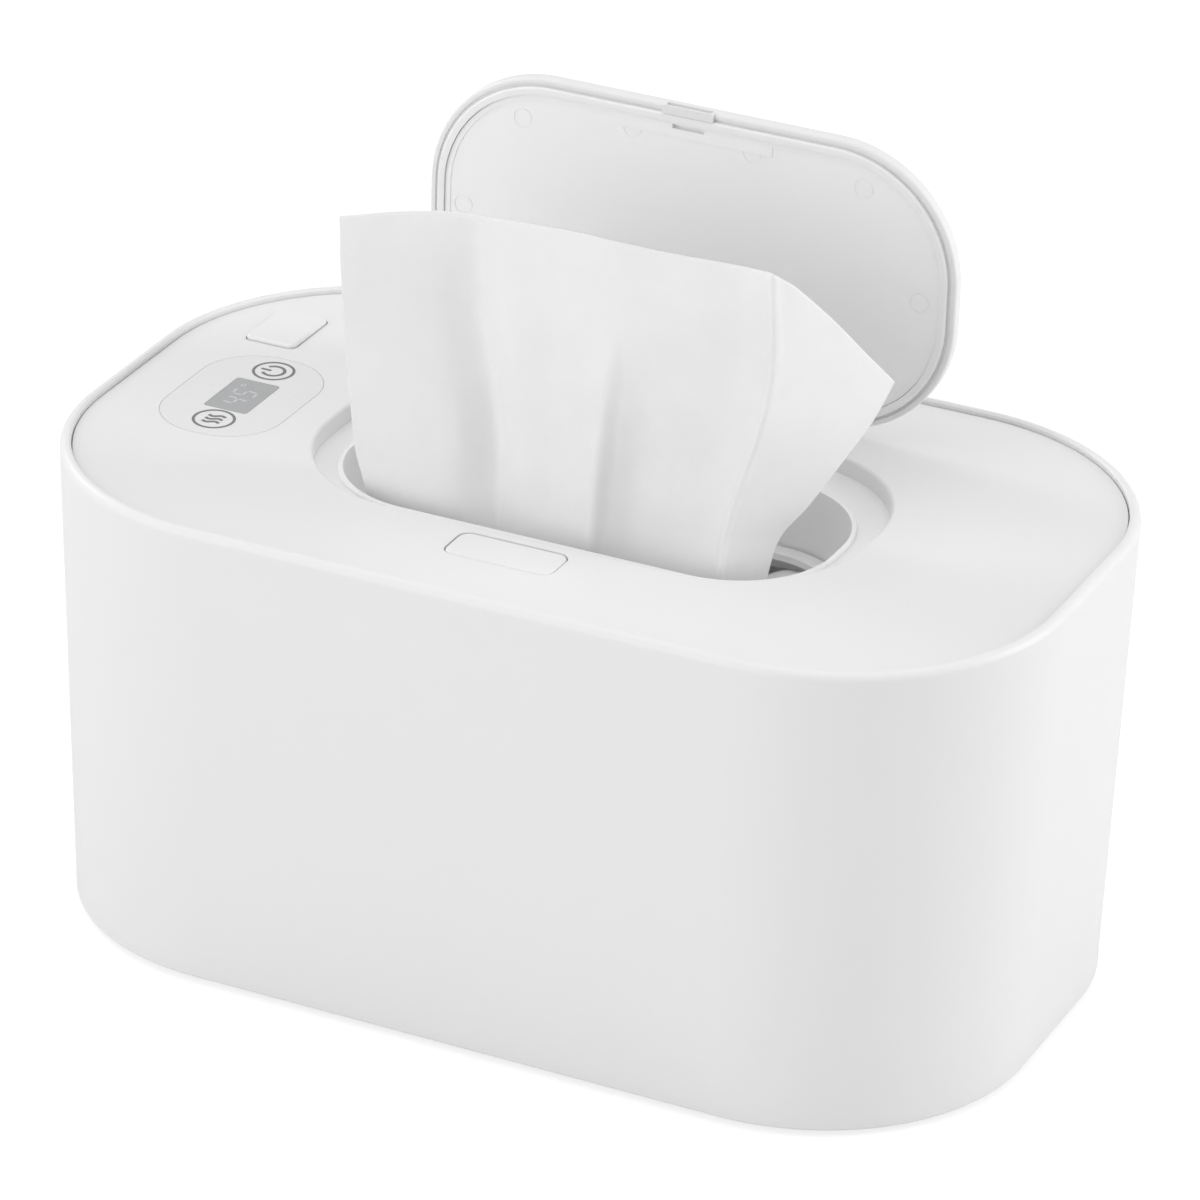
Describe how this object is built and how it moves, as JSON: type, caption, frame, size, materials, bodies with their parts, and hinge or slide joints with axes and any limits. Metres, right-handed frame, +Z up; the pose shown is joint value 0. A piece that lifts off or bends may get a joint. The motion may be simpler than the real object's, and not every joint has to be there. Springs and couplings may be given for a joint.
{
  "type": "baby wipe warmer",
  "caption": "Rounded white box that warms baby wipes, with a sprung flip-up lid over its dispensing opening, a front latch key, touch controls with a small display and a lift-off cover.",
  "frame": {"origin": "middle of the footprint, on the surface that the rubber feet stand on", "axes": "+X along the long side towards the right as seen from the front, -Y to the front with the latch key, +Z up"},
  "size_m": [0.22, 0.1324, 0.1714],
  "materials": {
    "casing_white": "fine satin, moulded ABS",
    "cover_white": "fine satin, moulded ABS",
    "lid_white": "semi-gloss, moulded ABS",
    "liner_white": "moulded polypropylene with pin marks",
    "tank_white": "moulded polypropylene",
    "key_grey": "satin",
    "overlay_white": "printed gloss film",
    "window_silver": "clear acrylic over a silver-grey display",
    "seal_silicone": "soft silicone",
    "foot_rubber": "soft rubber",
    "spring_steel": "drawn wire",
    "screw_steel": "zinc plated",
    "heater_aluminium": "rolled sheet",
    "film_orange": "polyimide film",
    "foam_grey": "closed-cell foam",
    "board_green": "printed circuit board",
    "black_plastic": "moulded nylon",
    "contact_brass": "plated brass",
    "sensor_black": "epoxy bead",
    "wipe_cloth": "moist non-woven sheet"
  },
  "bodies": {
    "casing": {"outer_casing": "casing_white", "base_plate": "casing_white", "rubber_feet": "foot_rubber", "base_screws": "screw_steel", "inner_tank": "tank_white", "heating_plate": "heater_aluminium", "heating_film": "film_orange", "insulation_pad": "foam_grey", "temperature_sensor": "sensor_black", "thermal_fuse": "sensor_black", "power_board": "board_green", "power_socket": "black_plastic", "contact_block": "black_plastic", "contact_pins": "contact_brass", "wipe_stack": "wipe_cloth"},
    "cover": {"top_panel": "cover_white", "cover_frame": "cover_white", "cover_gasket": "seal_silicone", "cover_screws": "screw_steel", "control_overlay": "overlay_white", "display_window": "window_silver", "display_module": "black_plastic", "control_board": "board_green", "touch_springs": "spring_steel", "contact_pads": "contact_brass", "hinge_pin": "spring_steel", "lid_spring": "spring_steel", "latch_pin": "spring_steel", "latch_spring": "spring_steel", "release_spring": "spring_steel", "wipe": "wipe_cloth"},
    "lid": {"lid_outer": "lid_white", "lid_liner": "liner_white", "lid_seal": "seal_silicone"},
    "latch_key": {"latch_button": "key_grey"},
    "latch_arm": {"latch_lever": "cover_white"},
    "release_key": {"release_button": "key_grey"},
    "cover_bolt": {"release_bolt": "cover_white"}
  },
  "joints": [
    {"name": "cover_lift", "type": "slide", "parent": "casing", "child": "cover", "axis": [0, 0, 1], "range_m": [0, 0.06]},
    {"name": "lid_hinge", "type": "hinge", "parent": "cover", "child": "lid", "pos_m": [0, 0.0381, 0.1001], "axis": [1, 0, 0], "range_deg": [0, 90], "stiffness_Nm_per_rad": 0.012, "springref_deg": -28.65, "deforming": ["wipe"]},
    {"name": "latch_press", "type": "slide", "parent": "cover", "child": "latch_key", "axis": [0, 0, -1], "range_m": [0, 0.0011], "stiffness_N_per_m": 300, "springref_m": -0.002, "deforming": ["latch_spring"]},
    {"name": "latch_turn", "type": "hinge", "parent": "cover", "child": "latch_arm", "pos_m": [0, -0.0363, 0.0955], "axis": [1, 0, 0], "range_deg": [0, 7.3]},
    {"name": "release_press", "type": "slide", "parent": "cover", "child": "release_key", "axis": [0, 0, -1], "range_m": [0, 0.0016], "stiffness_N_per_m": 400, "springref_m": -0.002, "deforming": ["release_spring"]},
    {"name": "release_draw", "type": "slide", "parent": "cover", "child": "cover_bolt", "axis": [0.878, -0.4787, 0], "range_m": [0, 0.0017]}
  ],
  "couplings": [
    {"joint": "latch_turn", "follows": "latch_press", "rad_per_m": 115.25},
    {"joint": "release_draw", "follows": "release_press", "ratio": 1}
  ]
}
